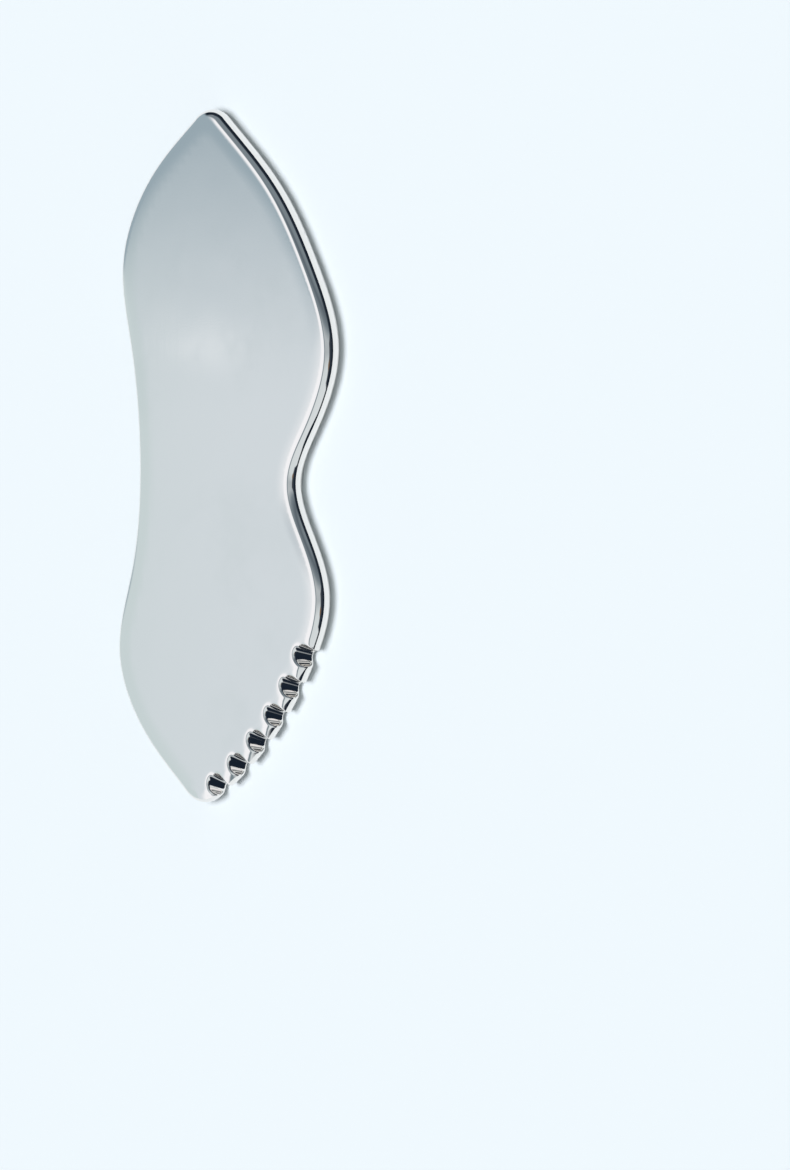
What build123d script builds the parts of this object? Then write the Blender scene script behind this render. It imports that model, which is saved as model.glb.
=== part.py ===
"""Gua sha scraper: one solid plate of polished steel.

The plate lies flat on z = 0.  +Y is the pointed end, +X is the long edge with
the thumb dent, and the comb edge runs round the lower right corner.
"""
import os
from math import cos, radians, sin

from build123d import *

os.makedirs("parts", exist_ok=True)

# Plate, 140 long and 62 wide
plate_thickness = 4.6
edge_radius = 2.2

# Pointed end, where two nearly straight flanks meet in a rounded nose
nose_centre = (-4.3, 64.0)
nose_radius = 6.0
nose_left_angle = 128.0
nose_right_angle = 48.0

# Long left edge, which swings out, in and out again
left_flank = (-20.0, 58.8)
left_shoulder = (-30.0, 38.6)
left_taper = (-27.6, 23.0)
left_waist = (-24.8, -2.0)
left_flare = (-27.2, -23.0)
left_hip = (-31.0, -39.5)
left_foot = (-22.5, -57.6)

# Long right edge, with a dent that fits over a limb
right_flank = (15.6, 53.2)
right_slope = (25.6, 37.4)
right_shoulder = (31.0, 21.2)
dent_upper = (25.4, 5.6)
dent_bottom = (20.4, -5.2)
dent_lower = (24.4, -16.2)
right_hip = (28.5, -28.4)

# Blunt end, between the left edge and the comb
heel_radius = 6.6
heel_left_angle = 228.0

# Comb edge, a shallow arc with round notches in it
comb_centre = (-42.0, -3.8)
comb_radius = 76.0
comb_start_angle = -26.5
comb_end_angle = -59.18

# Notches, cut with a tapered round tool that leans in over the plate
notch_count = 6
notch_radius = 1.8
notch_taper = 0.2
notch_lean = 20.0
notch_inset = 0.57
notch_first_angle = -28.7
notch_step_angle = -5.64
notch_rim_radius = 0.3
cutter_length = 8.0


def on_circle(centre, radius, angle):
    """Point on a circle at an angle in degrees."""
    return (centre[0] + radius * cos(radians(angle)), centre[1] + radius * sin(radians(angle)))


def along_circle(angle):
    """Direction of travel round a circle, anticlockwise."""
    return (-sin(radians(angle)), cos(radians(angle)))


nose_left = on_circle(nose_centre, nose_radius, nose_left_angle)
nose_top = on_circle(nose_centre, nose_radius, 90.0)
nose_right = on_circle(nose_centre, nose_radius, nose_right_angle)
heel_centre = on_circle(comb_centre, comb_radius - heel_radius, comb_end_angle)
heel_left = on_circle(heel_centre, heel_radius, heel_left_angle)
heel_bottom = on_circle(heel_centre, heel_radius, 270.0)
comb_start = on_circle(comb_centre, comb_radius, comb_start_angle)
comb_middle = on_circle(comb_centre, comb_radius, (comb_start_angle + comb_end_angle) / 2)
comb_end = on_circle(comb_centre, comb_radius, comb_end_angle)

with BuildPart() as scraper_plate:
    with BuildSketch(Plane.XY):
        with BuildLine():
            # Left edge, from the nose down to the heel
            Spline(
                nose_left,
                left_flank,
                left_shoulder,
                left_taper,
                left_waist,
                left_flare,
                left_hip,
                left_foot,
                heel_left,
                tangents=[along_circle(nose_left_angle), along_circle(heel_left_angle)],
                tangent_scalars=[1, 1],
            )
            # Heel, tangent to the left edge and running into the comb
            ThreePointArc(heel_left, heel_bottom, comb_end)
            # Comb edge
            ThreePointArc(comb_end, comb_middle, comb_start)
            # Right edge, from the comb up round the dent to the nose
            Spline(
                comb_start,
                right_hip,
                dent_lower,
                dent_bottom,
                dent_upper,
                right_shoulder,
                right_slope,
                right_flank,
                nose_right,
                tangents=[along_circle(comb_start_angle), along_circle(nose_right_angle)],
                tangent_scalars=[1, 1],
            )
            # Nose
            ThreePointArc(nose_right, nose_top, nose_left)
        make_face()
    extrude(amount=plate_thickness)

    # Both rims are rounded until the edge is all but a half circle
    rims = edges().filter_by(Plane.XY)
    fillet(rims, radius=edge_radius)

    # Comb notches, with their rims eased so that they don't scratch the skin
    notch_planes = []
    for index in range(notch_count):
        angle = notch_first_angle + index * notch_step_angle
        x, y = on_circle(comb_centre, comb_radius - notch_inset, angle)
        inward = sin(radians(notch_lean))
        cutter_axis = (-inward * cos(radians(angle)), -inward * sin(radians(angle)), cos(radians(notch_lean)))
        tangent = along_circle(angle)
        notch_planes.append(Plane((x, y, plate_thickness / 2), x_dir=(*tangent, 0), z_dir=cutter_axis))
    with Locations(*notch_planes):
        Cone(
            bottom_radius=notch_radius - notch_taper * cutter_length / 2,
            top_radius=notch_radius + notch_taper * cutter_length / 2,
            height=cutter_length,
            mode=Mode.SUBTRACT,
        )
    notch_rims = []
    for notch_wall in faces().filter_by(GeomType.CONE):
        notch_rims.extend(notch_wall.edges())
    fillet(notch_rims, radius=notch_rim_radius)

scraper_plate.part.label = "scraper_plate"
export_step(scraper_plate.part, "parts/scraper_plate.step")
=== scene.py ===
"""Gua sha scraper on a pale table: the polished plate, its lights and its camera."""

import math

import bpy
import numpy as np
import openvdb
from mathutils import Matrix, Vector


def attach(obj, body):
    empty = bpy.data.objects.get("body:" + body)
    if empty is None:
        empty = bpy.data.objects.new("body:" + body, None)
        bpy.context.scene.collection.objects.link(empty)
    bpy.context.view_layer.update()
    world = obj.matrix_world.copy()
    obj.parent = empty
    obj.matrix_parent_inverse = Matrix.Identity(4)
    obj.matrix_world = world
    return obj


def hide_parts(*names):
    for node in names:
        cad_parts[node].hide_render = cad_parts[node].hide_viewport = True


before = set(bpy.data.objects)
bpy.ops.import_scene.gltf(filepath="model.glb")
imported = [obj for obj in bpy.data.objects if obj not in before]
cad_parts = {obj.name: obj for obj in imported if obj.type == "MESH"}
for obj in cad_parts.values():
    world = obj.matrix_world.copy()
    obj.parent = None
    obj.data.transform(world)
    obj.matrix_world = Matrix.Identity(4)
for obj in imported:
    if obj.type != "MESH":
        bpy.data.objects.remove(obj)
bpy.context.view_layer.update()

MM = 0.001

# ---------------------------------------------------------------- plan outline, in millimetres
NOSE_CENTRE = (-4.3, 64.0)
NOSE_RADIUS = 6.0
NOSE_ANGLES = (128.0, 48.0)
# The left edge runs down from the nose, and the right edge runs up from the comb
LEFT_EDGE = (
    (-20.0, 58.8),
    (-30.0, 38.6),
    (-27.6, 23.0),
    (-24.8, -2.0),
    (-27.2, -23.0),
    (-31.0, -39.5),
    (-22.5, -57.6),
)
RIGHT_EDGE = (
    (28.5, -28.4),
    (24.4, -16.2),
    (20.4, -5.2),
    (25.4, 5.6),
    (31.0, 21.2),
    (25.6, 37.4),
    (15.6, 53.2),
)
COMB_CENTRE = (-42.0, -3.8)
COMB_RADIUS = 76.0
COMB_ANGLES = (-59.18, -26.5)
HEEL_RADIUS = 6.6
HEEL_LEFT_ANGLE = 228.0
OUTLINE_SPACING = 0.12
SPLINE_POINTS = 60
ARC_POINTS = 80
COMB_POINTS = 300

# ---------------------------------------------------------------- edge and notches, in millimetres
HALF_THICKNESS = 2.3
# The faces roll off towards the edge, more round the dent, as hand polishing leaves them.
# The depths are shares of the half thickness.
ROLL_WIDTH = 3.0
ROLL_END = 0.8
ROLL_DEPTH = 0.10
DENT_ROLL_DEPTH = 0.34
DENT_ROLL_FADE_Y = (34.0, 14.0)
DENT_ROLL_FADE_X = (-6.0, 8.0)
# They also roll off towards each notch
HALO_WIDTH = 3.8
HALO_DEPTH = 0.34
HALO_BLUNTNESS = 0.1
NOTCH_COUNT = 6
NOTCH_RADIUS = 1.8
NOTCH_TAPER = 0.2
NOTCH_LEAN = math.radians(20)
NOTCH_INSET = 0.57
NOTCH_FIRST_ANGLE = -28.7
NOTCH_STEP_ANGLE = -5.64
RIM_SOFTNESS = 0.45

# ---------------------------------------------------------------- meshing
VOXEL = 0.22
BAND = 3
FLAT_MERGE = 0.0006
PROJECTIONS = 3
GRADIENT_STEP = 0.004
BATCH = 4000


def on_circle(centre, radius, degrees):
    """Points on a circle at one or more angles."""
    turn = np.radians(degrees)
    return np.stack([centre[0] + radius * np.cos(turn), centre[1] + radius * np.sin(turn)], axis=-1)


def arc(centre, radius, start, end, count):
    """Points along an arc, without its last one."""
    return on_circle(centre, radius, np.linspace(start, end, count)[:-1])


def along_circle(degrees):
    """Anticlockwise direction of travel at an angle."""
    turn = math.radians(degrees)
    return np.array([-math.sin(turn), math.cos(turn)])


def spline(points, start, end):
    """Cubic spline through the points, by chord length, leaving and arriving along unit directions."""
    points = np.array(points, float)
    gap = np.linalg.norm(np.diff(points, axis=0), axis=1)
    count = len(points)
    system = np.zeros((count, count))
    target = np.zeros((count, 2))
    system[0, 0] = 1.0
    target[0] = start
    system[-1, -1] = 1.0
    target[-1] = end
    for i in range(1, count - 1):
        before, after = gap[i - 1], gap[i]
        system[i, i - 1] = after
        system[i, i] = 2 * (before + after)
        system[i, i + 1] = before
        rise = after * (points[i] - points[i - 1]) / before + before * (points[i + 1] - points[i]) / after
        target[i] = 3 * rise
    slope = np.linalg.solve(system, target)
    line = []
    for i in range(count - 1):
        t = np.linspace(0, 1, SPLINE_POINTS, endpoint=False)[:, None]
        keep = (2 * t**3 - 3 * t**2 + 1) * points[i] + (3 * t**2 - 2 * t**3) * points[i + 1]
        lean = (t**3 - 2 * t**2 + t) * slope[i] + (t**3 - t**2) * slope[i + 1]
        line.append(keep + gap[i] * lean)
    return np.concatenate(line)


def plan_outline():
    """The plate's plan outline, anticlockwise, evenly spaced: points and outward normals."""
    heel_centre = on_circle(COMB_CENTRE, COMB_RADIUS - HEEL_RADIUS, COMB_ANGLES[0])
    nose_left = on_circle(NOSE_CENTRE, NOSE_RADIUS, NOSE_ANGLES[0])
    nose_right = on_circle(NOSE_CENTRE, NOSE_RADIUS, NOSE_ANGLES[1])
    heel_left = on_circle(heel_centre, HEEL_RADIUS, HEEL_LEFT_ANGLE)
    comb_start = on_circle(COMB_CENTRE, COMB_RADIUS, COMB_ANGLES[1])
    parts = [
        spline(
            [nose_left, *LEFT_EDGE, heel_left],
            along_circle(NOSE_ANGLES[0]),
            along_circle(HEEL_LEFT_ANGLE),
        ),
        arc(heel_centre, HEEL_RADIUS, HEEL_LEFT_ANGLE, 360 + COMB_ANGLES[0], ARC_POINTS),
        arc(COMB_CENTRE, COMB_RADIUS, COMB_ANGLES[0], COMB_ANGLES[1], COMB_POINTS),
        spline(
            [comb_start, *RIGHT_EDGE, nose_right],
            along_circle(COMB_ANGLES[1]),
            along_circle(NOSE_ANGLES[1]),
        ),
        arc(NOSE_CENTRE, NOSE_RADIUS, NOSE_ANGLES[1], NOSE_ANGLES[0], ARC_POINTS),
    ]
    line = np.concatenate(parts)
    closed = np.vstack([line, line[:1]])
    travel = np.concatenate([[0], np.cumsum(np.linalg.norm(np.diff(closed, axis=0), axis=1))])
    stops = np.linspace(0, travel[-1], int(travel[-1] / OUTLINE_SPACING), endpoint=False)
    even = np.stack([np.interp(stops, travel, closed[:, axis]) for axis in (0, 1)], axis=1)
    ahead = np.roll(even, -2, axis=0) - np.roll(even, 2, axis=0)
    ahead /= np.linalg.norm(ahead, axis=1)[:, None]
    normal = np.stack([ahead[:, 1], -ahead[:, 0]], axis=1)
    return even, normal


OUTLINE, OUTLINE_NORMAL = plan_outline()
NOTCH_ANGLES = NOTCH_FIRST_ANGLE + NOTCH_STEP_ANGLE * np.arange(NOTCH_COUNT)
NOTCH_RIM_INSET = NOTCH_INSET + HALF_THICKNESS * math.tan(NOTCH_LEAN)
NOTCH_RIMS = on_circle(COMB_CENTRE, COMB_RADIUS - NOTCH_RIM_INSET, NOTCH_ANGLES)


def edge_distance(x, y):
    """Signed distance to the outline, less than zero inside, and the outward normal there."""
    distance = np.empty(len(x))
    normal = np.empty((len(x), 2))
    line = OUTLINE.astype(np.float32)
    for start in range(0, len(x), BATCH):
        part = slice(start, start + BATCH)
        dx = x[part, None].astype(np.float32) - line[None, :, 0]
        dy = y[part, None].astype(np.float32) - line[None, :, 1]
        near = np.argmin(dx * dx + dy * dy, axis=1)
        across = OUTLINE_NORMAL[near]
        away_x = x[part] - OUTLINE[near, 0]
        away_y = y[part] - OUTLINE[near, 1]
        distance[part] = away_x * across[:, 0] + away_y * across[:, 1]
        normal[part] = across
    return distance, normal


def soft_max(a, b, softness):
    """The larger of two distances, with the corner between them rounded."""
    blend = np.clip(0.5 + 0.5 * (a - b) / softness, 0, 1)
    return b + (a - b) * blend + softness * blend * (1 - blend)


def soft_step(value, low, high):
    """A smooth step from 0 at low to 1 at high."""
    t = np.clip((value - low) / (high - low), 0, 1)
    return t * t * (3 - 2 * t)


def notch_field(x, y, z, angle):
    """Distance into one notch: a tapered round groove that leans in over the plate."""
    place_x, place_y = on_circle(COMB_CENTRE, COMB_RADIUS - NOTCH_INSET, angle)
    outward = math.cos(math.radians(angle)), math.sin(math.radians(angle))
    across = (x - place_x) * outward[0] + (y - place_y) * outward[1]
    beside = (y - place_y) * outward[0] - (x - place_x) * outward[1]
    height = z * math.cos(NOTCH_LEAN) - across * math.sin(NOTCH_LEAN)
    away = np.hypot(beside, across * math.cos(NOTCH_LEAN) + z * math.sin(NOTCH_LEAN))
    return (NOTCH_RADIUS + NOTCH_TAPER * height - away) / math.hypot(1, NOTCH_TAPER)


def plate_field(x, y, z, distance):
    """Distance-like field of the plate: less than zero in the metal. z is from the middle plane."""
    reach = HALF_THICKNESS + ROLL_WIDTH
    over_edge = np.clip((distance + HALF_THICKNESS) / ROLL_END, 0, 1)
    inside = np.minimum(distance, -HALF_THICKNESS) + ROLL_END * (over_edge - 0.5 * over_edge**2)
    roll = 0.5 * np.clip((inside + reach) / reach, 0, 1) ** 2
    round_dent = soft_step(y, *DENT_ROLL_FADE_Y) * soft_step(x, *DENT_ROLL_FADE_X)
    sink = roll * (ROLL_DEPTH + DENT_ROLL_DEPTH * round_dent)
    for centre_x, centre_y in NOTCH_RIMS:
        away = np.sqrt((x - centre_x) ** 2 + (y - centre_y) ** 2 + HALO_BLUNTNESS**2)
        sink = sink + HALO_DEPTH * np.clip(1 - away / HALO_WIDTH, 0, 1) ** 2
    tall = z / (1 - sink)
    beyond = np.maximum(distance + HALF_THICKNESS, 0)
    field = np.sqrt(beyond**2 + tall**2) - HALF_THICKNESS
    for angle in NOTCH_ANGLES:
        field = soft_max(field, notch_field(x, y, z, angle), RIM_SOFTNESS)
    return field


def field_gradient(x, y, z, distance, normal):
    """Gradient of the plate's field by central differences."""
    gradient = []
    step = GRADIENT_STEP
    for ax, ay, az in ((step, 0, 0), (0, step, 0), (0, 0, step)):
        slide = normal[:, 0] * ax + normal[:, 1] * ay
        high = plate_field(x + ax, y + ay, z + az, distance + slide)
        low = plate_field(x - ax, y - ay, z - az, distance - slide)
        gradient.append((high - low) / (2 * step))
    return np.stack(gradient, axis=1)


def build_plate():
    """The plate as one closed mesh, with its normals taken from the field."""
    margin = BAND * VOXEL
    low = OUTLINE.min(axis=0) - margin
    high = OUTLINE.max(axis=0) + margin
    xs = np.arange(low[0], high[0], VOXEL)
    ys = np.arange(low[1], high[1], VOXEL)
    layers = int(HALF_THICKNESS / VOXEL + BAND)
    zs = np.arange(-layers, layers + 1) * VOXEL
    grid_x, grid_y = np.meshgrid(xs, ys, indexing="ij")
    distance, _ = edge_distance(grid_x.ravel(), grid_y.ravel())
    distance = distance.reshape(grid_x.shape)
    field = plate_field(grid_x[:, :, None], grid_y[:, :, None], zs[None, None, :], distance[:, :, None])
    grid = openvdb.FloatGrid()
    grid.background = float(margin)
    grid.copyFromArray(np.clip(field, -margin, margin).astype(np.float32))
    points, triangles, quads = grid.convertToPolygons(isovalue=0.0, adaptivity=FLAT_MERGE)
    points = points.astype(float) * VOXEL + np.array([xs[0], ys[0], zs[0]])
    for _ in range(PROJECTIONS):
        distance, across = edge_distance(points[:, 0], points[:, 1])
        value = plate_field(points[:, 0], points[:, 1], points[:, 2], distance)
        gradient = field_gradient(points[:, 0], points[:, 1], points[:, 2], distance, across)
        points -= gradient * (value / np.maximum((gradient**2).sum(axis=1), 1e-6))[:, None]
    distance, across = edge_distance(points[:, 0], points[:, 1])
    gradient = field_gradient(points[:, 0], points[:, 1], points[:, 2], distance, across)
    gradient /= np.linalg.norm(gradient, axis=1)[:, None]
    points[:, 2] += HALF_THICKNESS
    mesh = bpy.data.meshes.new("scraper_plate_polished")
    faces = [tuple(int(v) for v in face) for face in triangles]
    faces += [tuple(int(v) for v in face) for face in quads]
    mesh.from_pydata((points * MM).tolist(), [], faces)
    mesh.validate()
    mesh.update()
    mesh.shade_smooth()
    mesh.normals_split_custom_set_from_vertices(gradient.tolist())
    plate = bpy.data.objects.new("scraper_plate_polished", mesh)
    bpy.context.scene.collection.objects.link(plate)
    return plate


plate = build_plate()


# ---------------------------------------------------------------- material helpers
def nodes_of(material):
    """Turns nodes on, clears them and returns the tree's nodes and links."""
    material.use_nodes = True
    tree = material.node_tree
    tree.nodes.clear()
    return tree.nodes, tree.links


def link_math(tree_nodes, tree_links, operation, a, b=None, c=None):
    """A Math node fed with numbers or sockets."""
    node = tree_nodes.new("ShaderNodeMath")
    node.operation = operation
    for index, value in enumerate((a, b, c)):
        if value is None:
            continue
        if isinstance(value, (int, float)):
            node.inputs[index].default_value = value
        else:
            tree_links.new(value, node.inputs[index])
    return node.outputs[0]


def link_range(tree_nodes, tree_links, value, low, high, to_low=0.0, to_high=1.0):
    """A smooth step from to_low to to_high as the value goes from low to high."""
    node = tree_nodes.new("ShaderNodeMapRange")
    node.interpolation_type = "SMOOTHSTEP"
    node.inputs["From Min"].default_value = low
    node.inputs["From Max"].default_value = high
    node.inputs["To Min"].default_value = to_low
    node.inputs["To Max"].default_value = to_high
    tree_links.new(value, node.inputs["Value"])
    return node.outputs["Result"]


# ---------------------------------------------------------------- polished steel
# Texture scales are in features per metre, and bump depths in metres
WAVE_SCALE = 60
WAVE_STRENGTH = 0.05
WAVE_DEPTH = 0.0004
POLISH_SCALE = 900
POLISH_STRETCH = (1.0, 0.08, 1.0)
SPECKLE_SCALE = 2600
GRAIN_STRENGTH = 0.015
GRAIN_DEPTH = 0.00004
SMUDGE_SCALE = 34
SMUDGE_EDGES = (0.48, 0.72)
CLEAN_ROUGHNESS = 0.035
SMUDGE_ROUGHNESS = 0.05
CLEAN_STEEL = (0.91, 0.87, 0.835, 1)
SMUDGED_STEEL = (0.885, 0.85, 0.815, 1)


def polished_steel():
    """Mirror-polished stainless steel: faint waviness, polishing marks, speckle and finger smudges."""
    material = bpy.data.materials.new("polished_steel")
    nodes, links = nodes_of(material)
    place = nodes.new("ShaderNodeTexCoord").outputs["Object"]

    def noise(scale, detail, stretch=(1, 1, 1), roughness=0.5):
        mapping = nodes.new("ShaderNodeMapping")
        mapping.inputs["Scale"].default_value = stretch
        links.new(place, mapping.inputs["Vector"])
        texture = nodes.new("ShaderNodeTexNoise")
        texture.inputs["Scale"].default_value = scale
        texture.inputs["Detail"].default_value = detail
        texture.inputs["Roughness"].default_value = roughness
        links.new(mapping.outputs["Vector"], texture.inputs["Vector"])
        return texture.outputs["Fac"]

    waviness = noise(WAVE_SCALE, 1.0)
    polish = noise(POLISH_SCALE, 3.0, POLISH_STRETCH)
    speckle = noise(SPECKLE_SCALE, 2.0)
    smudge = noise(SMUDGE_SCALE, 4.0, roughness=0.6)

    wave_bump = nodes.new("ShaderNodeBump")
    wave_bump.inputs["Strength"].default_value = WAVE_STRENGTH
    wave_bump.inputs["Distance"].default_value = WAVE_DEPTH
    links.new(waviness, wave_bump.inputs["Height"])
    grain_bump = nodes.new("ShaderNodeBump")
    grain_bump.inputs["Strength"].default_value = GRAIN_STRENGTH
    grain_bump.inputs["Distance"].default_value = GRAIN_DEPTH
    links.new(link_math(nodes, links, "ADD", polish, speckle), grain_bump.inputs["Height"])
    links.new(wave_bump.outputs["Normal"], grain_bump.inputs["Normal"])

    film = link_range(nodes, links, smudge, *SMUDGE_EDGES)
    rough = link_math(nodes, links, "MULTIPLY_ADD", film, SMUDGE_ROUGHNESS, CLEAN_ROUGHNESS)
    tint = nodes.new("ShaderNodeMix")
    tint.data_type = "RGBA"
    tint.inputs["A"].default_value = CLEAN_STEEL
    tint.inputs["B"].default_value = SMUDGED_STEEL
    links.new(film, tint.inputs["Factor"])

    shader = nodes.new("ShaderNodeBsdfPrincipled")
    shader.inputs["Metallic"].default_value = 1.0
    links.new(tint.outputs["Result"], shader.inputs["Base Color"])
    links.new(rough, shader.inputs["Roughness"])
    links.new(grain_bump.outputs["Normal"], shader.inputs["Normal"])
    output = nodes.new("ShaderNodeOutputMaterial")
    links.new(shader.outputs["BSDF"], output.inputs["Surface"])
    return material


plate.data.materials.append(polished_steel())
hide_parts("scraper_plate")
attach(plate, "root")


# ---------------------------------------------------------------- table
TABLE_SIZE = 6.0
TABLE_GAP = 0.00002
TABLE_COLOUR = (0.735, 0.785, 0.835, 1)


def pale_table():
    """A wide matt table top under the plate."""
    bpy.ops.mesh.primitive_plane_add(size=TABLE_SIZE, location=(0, 0, -TABLE_GAP))
    table = bpy.context.object
    table.name = "table_top"
    material = bpy.data.materials.new("table_white")
    nodes, links = nodes_of(material)
    shader = nodes.new("ShaderNodeBsdfDiffuse")
    shader.inputs["Color"].default_value = TABLE_COLOUR
    output = nodes.new("ShaderNodeOutputMaterial")
    links.new(shader.outputs["BSDF"], output.inputs["Surface"])
    table.data.materials.append(material)


pale_table()


# ---------------------------------------------------------------- studio
# Every place here is a direction: the X, Y and Z of a unit vector that points at what the steel reflects.
# How high the dark room reaches, and how pale the ceiling above it is, by the direction's Y
ROOM_TOP = (
    (-1.0, 0.92),
    (-0.86, 0.92),
    (-0.74, 0.25),
    (-0.58, 0.25),
    (-0.48, 0.54),
    (-0.20, 0.66),
    (0.10, 0.70),
    (0.25, 0.50),
    (0.50, 0.46),
    (0.68, 0.80),
    (1.0, 0.97),
)
CEILING = (
    (-1.0, (0.76, 0.83, 0.88)),
    (-0.25, (0.68, 0.76, 0.80)),
    (-0.05, (0.45, 0.51, 0.55)),
    (0.12, (0.48, 0.54, 0.58)),
    (0.30, (0.20, 0.25, 0.29)),
    (0.50, (0.10, 0.13, 0.16)),
)
FAR_WALL = (0.690, 0.780, 0.850)
LEFT_WALL = (0.62, 0.735, 0.775)
SHADED_WALL = (0.34, 0.445, 0.52)
WALL_PATCH = (0.80, 0.885, 0.95)
WINDOW = (0.98, 1.02, 1.08)
DARK_ROOM = (0.010, 0.017, 0.030)
DARK_ROOM_TOP = (0.045, 0.058, 0.075)
NOSE_WALL = (0.20, 0.25, 0.29)
CEILING_EDGE = (0.20, 0.26, 0.30)
WARM_SPOT = (0.20, 0.13, 0.075)
TABLE_LIGHT = (0.880, 0.940, 1.0)
FILL = (0.06, 0.068, 0.062)
SIDE_FILL = (0.95, 1.02, 0.96)

# Where each soft boundary starts and ends, by X
LEFT_WALL_FADE = (-0.715, -0.75)
WINDOW_FADE = (-0.69, -0.42)
CEILING_FADE = (-0.14, -0.04)
CEILING_EDGE_FADE = (0.10, 0.0)
ROOM_SIDE_FADE = (0.05, 0.30)
SIDE_FILL_START = (0.25, 0.45)
SIDE_FILL_END = (0.85, 0.65)
# By Y
SHADED_WALL_FADE = (0.006, 0.074)
NOSE_WALL_FADE = (0.45, 0.65)
# By Z
ROOM_TOP_FADE = (-0.05, 0.05)
ROOM_DEPTH_FADE = (0.20, 0.60)
NOSE_WALL_BOTTOM = (0.40, 0.50)
WARM_SPOT_BOTTOM = (0.3, 0.5)
# How far the ceiling and the room lean over towards the nose
CEILING_SLANT = 0.35
ROOM_SLANT = 1.5
# Round spots: X and Y of the middle, then the radius along X and Y
WALL_PATCH_SPOT = ((-0.7216, 0.0189), (0.0050, 0.0034))
WARM_SPOT_PLACE = ((0.74, -0.25), (0.07, 0.07))
SPOT_FADE = (2.2, 0.0)


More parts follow.
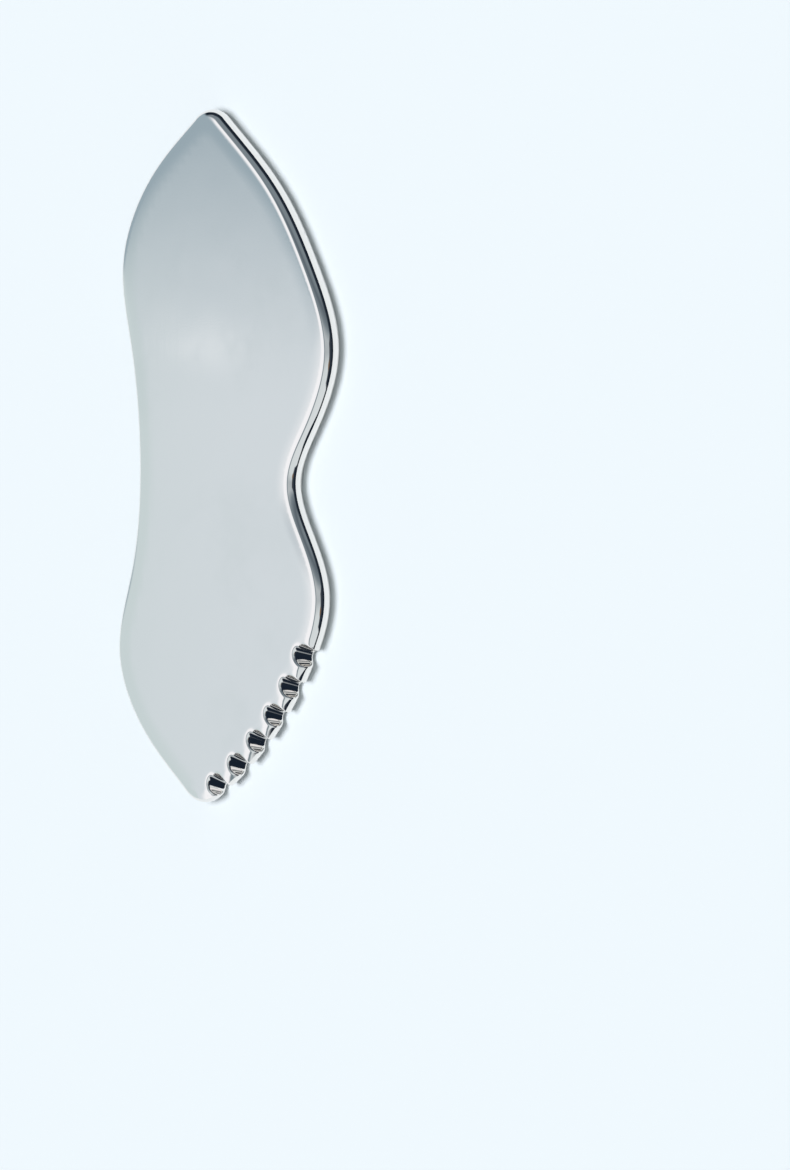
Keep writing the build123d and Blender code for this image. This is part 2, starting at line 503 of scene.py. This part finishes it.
def studio_world():
    """What the polished steel sees: a pale wall, a white window above it, a ceiling and a dark room."""
    world = bpy.data.worlds.new("studio")
    bpy.context.scene.world = world
    world.use_nodes = True
    nodes, links = world.node_tree.nodes, world.node_tree.links
    nodes.clear()
    place = nodes.new("ShaderNodeTexCoord").outputs["Generated"]
    split = nodes.new("ShaderNodeSeparateXYZ")
    links.new(place, split.inputs["Vector"])
    dx, dy, dz = split.outputs["X"], split.outputs["Y"], split.outputs["Z"]
    along = link_math(nodes, links, "MULTIPLY_ADD", dy, 0.5, 0.5)
    towards_nose = link_math(nodes, links, "MAXIMUM", dy, 0.0)

    def ramp(stops):
        node = nodes.new("ShaderNodeValToRGB")
        elements = node.color_ramp.elements
        while len(elements) < len(stops):
            elements.new(0.5)
        for element, (place_y, colour) in zip(elements, stops):
            element.position = (place_y + 1) / 2
            element.color = (*colour, 1)
        links.new(along, node.inputs["Fac"])
        return node.outputs["Color"]

    def mix(factor, a, b):
        node = nodes.new("ShaderNodeMix")
        node.data_type = "RGBA"
        links.new(factor, node.inputs["Factor"])
        for name, value in (("A", a), ("B", b)):
            if isinstance(value, tuple):
                node.inputs[name].default_value = (*value, 1)
            else:
                links.new(value, node.inputs[name])
        return node.outputs["Result"]

    def spot(centre, radii):
        """A soft round spot in the direction (dx, dy)."""
        total = None
        for value, middle, radius in zip((dx, dy), centre, radii):
            offset = link_math(nodes, links, "SUBTRACT", value, middle)
            off = link_math(nodes, links, "DIVIDE", offset, radius)
            square = link_math(nodes, links, "MULTIPLY", off, off)
            total = square if total is None else link_math(nodes, links, "ADD", total, square)
        return link_range(nodes, links, total, *SPOT_FADE)

    def fade(value, edges):
        return link_range(nodes, links, value, *edges)

    def both(a, b):
        return link_math(nodes, links, "MULTIPLY", a, b)

    # The far wall darkens towards the nose
    wall = mix(fade(dx, LEFT_WALL_FADE), FAR_WALL, LEFT_WALL)
    wall = mix(spot(*WALL_PATCH_SPOT), wall, WALL_PATCH)
    wall = mix(fade(dy, SHADED_WALL_FADE), wall, SHADED_WALL)
    colour = mix(fade(dx, WINDOW_FADE), wall, WINDOW)

    # The ceiling starts past the window, with a grey line along its edge
    overhead = link_math(nodes, links, "MULTIPLY_ADD", towards_nose, CEILING_SLANT, dx)
    ceiling = mix(fade(overhead, CEILING_EDGE_FADE), ramp(CEILING), CEILING_EDGE)
    colour = mix(fade(overhead, CEILING_FADE), colour, ceiling)
    nose_wall = both(fade(dz, NOSE_WALL_BOTTOM), fade(dy, NOSE_WALL_FADE))
    colour = mix(nose_wall, colour, NOSE_WALL)

    # The dark room lies below the ceiling, on the side of the dent
    room_top = ramp([(place_y, (height, height, height)) for place_y, height in ROOM_TOP])
    below = fade(link_math(nodes, links, "SUBTRACT", room_top, dz), ROOM_TOP_FADE)
    beside = link_math(nodes, links, "MULTIPLY_ADD", towards_nose, ROOM_SLANT, dx)
    room = both(below, fade(beside, ROOM_SIDE_FADE))
    room = both(room, link_math(nodes, links, "SUBTRACT", 1.0, nose_wall))
    colour = mix(room, colour, mix(fade(dz, ROOM_DEPTH_FADE), DARK_ROOM, DARK_ROOM_TOP))
    colour = mix(both(spot(*WARM_SPOT_PLACE), fade(dz, WARM_SPOT_BOTTOM)), colour, WARM_SPOT)

    # The table gets an even fill and some light from the side of the dent, and fills the camera's view
    path = nodes.new("ShaderNodeLightPath")
    fill = mix(both(fade(dx, SIDE_FILL_START), fade(dx, SIDE_FILL_END)), FILL, SIDE_FILL)
    colour = mix(path.outputs["Is Diffuse Ray"], colour, fill)
    colour = mix(path.outputs["Is Camera Ray"], colour, TABLE_LIGHT)
    background = nodes.new("ShaderNodeBackground")
    links.new(colour, background.inputs["Color"])
    output = nodes.new("ShaderNodeOutputWorld")
    links.new(background.outputs["Background"], output.inputs["Surface"])


studio_world()

# A wide soft light from almost straight above, which the steel itself doesn't reflect
OVERHEAD_ENERGY = 2.93
OVERHEAD_ANGLE = math.radians(40)
OVERHEAD_FROM = Vector((-0.03, 0.0, 0.99))
overhead_data = bpy.data.lights.new("overhead_light", "SUN")
overhead_data.energy = OVERHEAD_ENERGY
overhead_data.angle = OVERHEAD_ANGLE
overhead = bpy.data.objects.new("overhead_light", overhead_data)
overhead.rotation_euler = OVERHEAD_FROM.to_track_quat("Z", "Y").to_euler()
overhead.visible_glossy = False
bpy.context.scene.collection.objects.link(overhead)

# ---------------------------------------------------------------- camera
# The camera looks down on the dent's side of the plate. The shift sets the plate left of the middle.
TILT = math.radians(46)
DISTANCE = 1.2
FRAME_HEIGHT = 0.235638
SHIFT = (0.143077, -0.110256)
SENSOR_HEIGHT = 24.0
CLIP_START = 0.01
toward = Vector((math.sin(TILT), 0, math.cos(TILT)))
right = Vector((math.cos(TILT), 0, -math.sin(TILT)))
up = Vector((0, 1, 0))
aim = Vector((0, 0, HALF_THICKNESS * MM))
camera_data = bpy.data.cameras.new("camera")
camera_data.sensor_fit = "VERTICAL"
camera_data.sensor_height = SENSOR_HEIGHT
camera_data.lens = SENSOR_HEIGHT * DISTANCE / FRAME_HEIGHT
camera_data.shift_x = SHIFT[0]
camera_data.shift_y = SHIFT[1]
camera_data.clip_start = CLIP_START
camera = bpy.data.objects.new("camera", camera_data)
turned = Matrix((right, up, toward)).transposed().to_4x4()
camera.matrix_world = Matrix.Translation(aim + toward * DISTANCE) @ turned
bpy.context.scene.collection.objects.link(camera)
bpy.context.scene.camera = camera

bpy.context.scene.view_settings.view_transform = "Standard"
